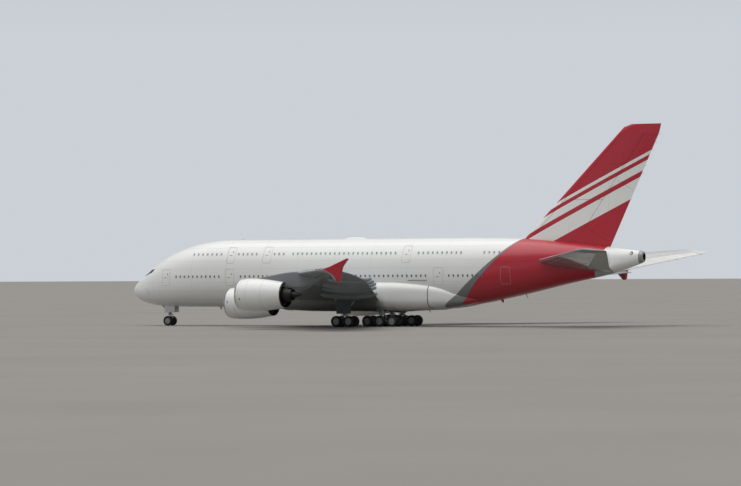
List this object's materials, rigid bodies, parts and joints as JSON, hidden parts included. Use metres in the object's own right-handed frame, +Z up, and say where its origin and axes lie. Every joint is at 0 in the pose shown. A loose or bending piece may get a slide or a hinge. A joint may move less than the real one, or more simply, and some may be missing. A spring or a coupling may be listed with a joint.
{
  "type": "wide body airliner, 1:2 scale model",
  "caption": "Double-deck four-engined wide body airliner standing on its gear, with turning wheels and fans, hinged control surfaces, flaps, cargo doors and a steered nose gear.",
  "frame": {"origin": "on the ground, midway along the length and on the centre line", "axes": "+X to the port wing, +Y aft from nose to tail, +Z up"},
  "size_m": [39.875, 36.36, 12.045],
  "materials": {
    "white_paint": "gloss",
    "red_paint": "gloss",
    "wing_paint": "satin",
    "gear_paint": "satin",
    "exhaust_metal": "satin",
    "fan_metal": "satin",
    "tyre_rubber": "matte"
  },
  "bodies": {
    "airframe": {"belly_fairing": "white_paint", "body_gear_left": "gear_paint", "body_gear_right": "gear_paint", "centre_fuselage": "white_paint", "fin": "red_paint", "inner_core_left": "exhaust_metal", "inner_core_right": "exhaust_metal", "inner_cowl_left": "white_paint", "inner_cowl_right": "white_paint", "inner_pylon_left": "wing_paint", "inner_pylon_right": "wing_paint", "nose_fuselage": "white_paint", "nose_gear_leg": "gear_paint", "outer_core_left": "exhaust_metal", "outer_core_right": "exhaust_metal", "outer_cowl_left": "white_paint", "outer_cowl_right": "white_paint", "outer_pylon_left": "wing_paint", "outer_pylon_right": "wing_paint", "rear_fuselage": "white_paint", "tip_fence_left": "red_paint", "tip_fence_right": "red_paint", "wing_gear_left": "gear_paint", "wing_gear_right": "gear_paint", "wing_left": "wing_paint", "wing_right": "wing_paint"},
    "inner_aileron_left": {"inner_aileron_left": "wing_paint"},
    "middle_aileron_left": {"middle_aileron_left": "wing_paint"},
    "outer_aileron_left": {"outer_aileron_left": "wing_paint"},
    "inner_flap_left": {"inner_flap_left": "wing_paint"},
    "outer_flap_left": {"outer_flap_left": "wing_paint"},
    "inner_aileron_right": {"inner_aileron_right": "wing_paint"},
    "middle_aileron_right": {"middle_aileron_right": "wing_paint"},
    "outer_aileron_right": {"outer_aileron_right": "wing_paint"},
    "inner_flap_right": {"inner_flap_right": "wing_paint"},
    "outer_flap_right": {"outer_flap_right": "wing_paint"},
    "stabiliser": {"stabiliser_left": "white_paint", "stabiliser_right": "white_paint"},
    "elevator_left": {"elevator_left": "white_paint"},
    "elevator_right": {"elevator_right": "white_paint"},
    "upper_rudder": {"upper_rudder": "red_paint"},
    "lower_rudder": {"lower_rudder": "red_paint"},
    "forward_cargo_door": {"forward_cargo_door": "white_paint"},
    "aft_cargo_door": {"aft_cargo_door": "white_paint"},
    "inner_fan_left": {"inner_fan_left": "fan_metal"},
    "inner_fan_right": {"inner_fan_right": "fan_metal"},
    "outer_fan_left": {"outer_fan_left": "fan_metal"},
    "outer_fan_right": {"outer_fan_right": "fan_metal"},
    "wing_gear_front_wheels_left": {"wing_gear_front_wheels_left": "tyre_rubber"},
    "wing_gear_rear_wheels_left": {"wing_gear_rear_wheels_left": "tyre_rubber"},
    "body_gear_front_wheels_left": {"body_gear_front_wheels_left": "tyre_rubber"},
    "body_gear_middle_wheels_left": {"body_gear_middle_wheels_left": "tyre_rubber"},
    "body_gear_rear_wheels_left": {"body_gear_rear_wheels_left": "tyre_rubber"},
    "wing_gear_front_wheels_right": {"wing_gear_front_wheels_right": "tyre_rubber"},
    "wing_gear_rear_wheels_right": {"wing_gear_rear_wheels_right": "tyre_rubber"},
    "body_gear_front_wheels_right": {"body_gear_front_wheels_right": "tyre_rubber"},
    "body_gear_middle_wheels_right": {"body_gear_middle_wheels_right": "tyre_rubber"},
    "body_gear_rear_wheels_right": {"body_gear_rear_wheels_right": "tyre_rubber"},
    "nose_gear_fork": {"nose_gear_fork": "gear_paint"},
    "nose_wheels": {"nose_wheels": "tyre_rubber"}
  },
  "joints": [
    {"name": "inner_aileron_hinge_left", "type": "hinge", "parent": "airframe", "child": "inner_aileron_left", "pos_m": [14.725, 4.98261, 3.06733], "axis": [-0.9082, -0.4161, -0.0454], "range_deg": [-30, 20]},
    {"name": "middle_aileron_hinge_left", "type": "hinge", "parent": "airframe", "child": "middle_aileron_left", "pos_m": [16.4375, 5.76713, 3.15288], "axis": [-0.9082, -0.4161, -0.0454], "range_deg": [-30, 20]},
    {"name": "outer_aileron_hinge_left", "type": "hinge", "parent": "airframe", "child": "outer_aileron_left", "pos_m": [18.15, 6.55165, 3.23843], "axis": [-0.9082, -0.4161, -0.0454], "range_deg": [-30, 20]},
    {"name": "inner_flap_hinge_left", "type": "hinge", "parent": "airframe", "child": "inner_flap_left", "pos_m": [4.70351, -0.18478, 1.54402], "axis": [-0.8907, -0.4361, -0.1285], "range_deg": [0, 33]},
    {"name": "outer_flap_hinge_left", "type": "hinge", "parent": "airframe", "child": "outer_flap_left", "pos_m": [10.5696, 2.75865, 2.10587], "axis": [-0.881, -0.4699, -0.0543], "range_deg": [0, 33]},
    {"name": "inner_aileron_hinge_right", "type": "hinge", "parent": "airframe", "child": "inner_aileron_right", "pos_m": [-14.725, 4.98261, 3.06733], "axis": [-0.9082, 0.4161, 0.0454], "range_deg": [-30, 20]},
    {"name": "middle_aileron_hinge_right", "type": "hinge", "parent": "airframe", "child": "middle_aileron_right", "pos_m": [-16.4375, 5.76713, 3.15288], "axis": [-0.9082, 0.4161, 0.0454], "range_deg": [-30, 20]},
    {"name": "outer_aileron_hinge_right", "type": "hinge", "parent": "airframe", "child": "outer_aileron_right", "pos_m": [-18.15, 6.55165, 3.23843], "axis": [-0.9082, 0.4161, 0.0454], "range_deg": [-30, 20]},
    {"name": "inner_flap_hinge_right", "type": "hinge", "parent": "airframe", "child": "inner_flap_right", "pos_m": [-4.70351, -0.18478, 1.54402], "axis": [-0.8907, 0.4361, 0.1285], "range_deg": [0, 33]},
    {"name": "outer_flap_hinge_right", "type": "hinge", "parent": "airframe", "child": "outer_flap_right", "pos_m": [-10.5696, 2.75865, 2.10587], "axis": [-0.881, 0.4699, 0.0543], "range_deg": [0, 33]},
    {"name": "stabiliser_trim", "type": "hinge", "parent": "airframe", "child": "stabiliser", "pos_m": [0, 13.12, 3.675], "axis": [-1, 0, 0], "range_deg": [-10, 3]},
    {"name": "elevator_hinge_left", "type": "hinge", "parent": "stabiliser", "child": "elevator_left", "pos_m": [4.3625, 15.67396, 4.01366], "axis": [-0.87, -0.4772, -0.1238], "range_deg": [-30, 20]},
    {"name": "elevator_hinge_right", "type": "hinge", "parent": "stabiliser", "child": "elevator_right", "pos_m": [-4.3625, 15.67396, 4.01366], "axis": [-0.87, 0.4772, 0.1238], "range_deg": [-30, 20]},
    {"name": "upper_rudder_hinge", "type": "hinge", "parent": "airframe", "child": "upper_rudder", "pos_m": [0, 16.34562, 10.1], "axis": [0, 0.5346, 0.8451], "range_deg": [-30, 30]},
    {"name": "lower_rudder_hinge", "type": "hinge", "parent": "airframe", "child": "lower_rudder", "pos_m": [0, 14.54274, 7.25], "axis": [0, 0.5346, 0.8451], "range_deg": [-30, 30]},
    {"name": "forward_cargo_door_hinge", "type": "hinge", "parent": "airframe", "child": "forward_cargo_door", "pos_m": [-1.74444, -10.43, 2.525], "axis": [-0.0003, 1, 0], "range_deg": [0, 135]},
    {"name": "aft_cargo_door_hinge", "type": "hinge", "parent": "airframe", "child": "aft_cargo_door", "pos_m": [-1.70621, 6.07, 2.6], "axis": [0.0542, 0.9985, 0], "range_deg": [0, 135]},
    {"name": "inner_fan_spin_left", "type": "hinge", "parent": "airframe", "child": "inner_fan_left", "pos_m": [7.45, -6.955, 1.49], "axis": [0, 1, 0], "continuous": true},
    {"name": "inner_fan_spin_right", "type": "hinge", "parent": "airframe", "child": "inner_fan_right", "pos_m": [-7.45, -6.955, 1.49], "axis": [0, 1, 0], "continuous": true},
    {"name": "outer_fan_spin_left", "type": "hinge", "parent": "airframe", "child": "outer_fan_left", "pos_m": [12.85, -3.105, 2.025], "axis": [0, 1, 0], "continuous": true},
    {"name": "outer_fan_spin_right", "type": "hinge", "parent": "airframe", "child": "outer_fan_right", "pos_m": [-12.85, -3.105, 2.025], "axis": [0, 1, 0], "continuous": true},
    {"name": "wing_gear_front_axle_left", "type": "hinge", "parent": "airframe", "child": "wing_gear_front_wheels_left", "pos_m": [3.115, -1.815, 0.33807], "axis": [1, 0, 0], "continuous": true},
    {"name": "wing_gear_rear_axle_left", "type": "hinge", "parent": "airframe", "child": "wing_gear_rear_wheels_left", "pos_m": [3.115, -0.965, 0.33807], "axis": [1, 0, 0], "continuous": true},
    {"name": "body_gear_front_axle_left", "type": "hinge", "parent": "airframe", "child": "body_gear_front_wheels_left", "pos_m": [1.315, -0.605, 0.33807], "axis": [1, 0, 0], "continuous": true},
    {"name": "body_gear_middle_axle_left", "type": "hinge", "parent": "airframe", "child": "body_gear_middle_wheels_left", "pos_m": [1.315, 0.245, 0.33807], "axis": [1, 0, 0], "continuous": true},
    {"name": "body_gear_rear_axle_left", "type": "hinge", "parent": "airframe", "child": "body_gear_rear_wheels_left", "pos_m": [1.315, 1.095, 0.33807], "axis": [1, 0, 0], "continuous": true},
    {"name": "wing_gear_front_axle_right", "type": "hinge", "parent": "airframe", "child": "wing_gear_front_wheels_right", "pos_m": [-3.115, -1.815, 0.33807], "axis": [1, 0, 0], "continuous": true},
    {"name": "wing_gear_rear_axle_right", "type": "hinge", "parent": "airframe", "child": "wing_gear_rear_wheels_right", "pos_m": [-3.115, -0.965, 0.33807], "axis": [1, 0, 0], "continuous": true},
    {"name": "body_gear_front_axle_right", "type": "hinge", "parent": "airframe", "child": "body_gear_front_wheels_right", "pos_m": [-1.315, -0.605, 0.33807], "axis": [1, 0, 0], "continuous": true},
    {"name": "body_gear_middle_axle_right", "type": "hinge", "parent": "airframe", "child": "body_gear_middle_wheels_right", "pos_m": [-1.315, 0.245, 0.33807], "axis": [1, 0, 0], "continuous": true},
    {"name": "body_gear_rear_axle_right", "type": "hinge", "parent": "airframe", "child": "body_gear_rear_wheels_right", "pos_m": [-1.315, 1.095, 0.33807], "axis": [1, 0, 0], "continuous": true},
    {"name": "nose_steering", "type": "hinge", "parent": "airframe", "child": "nose_gear_fork", "pos_m": [0, -15.695, 0.30668], "axis": [0, 0, 1], "range_deg": [-70, 70]},
    {"name": "nose_axle", "type": "hinge", "parent": "nose_gear_fork", "child": "nose_wheels", "pos_m": [0, -15.695, 0.30668], "axis": [1, 0, 0], "continuous": true}
  ]
}
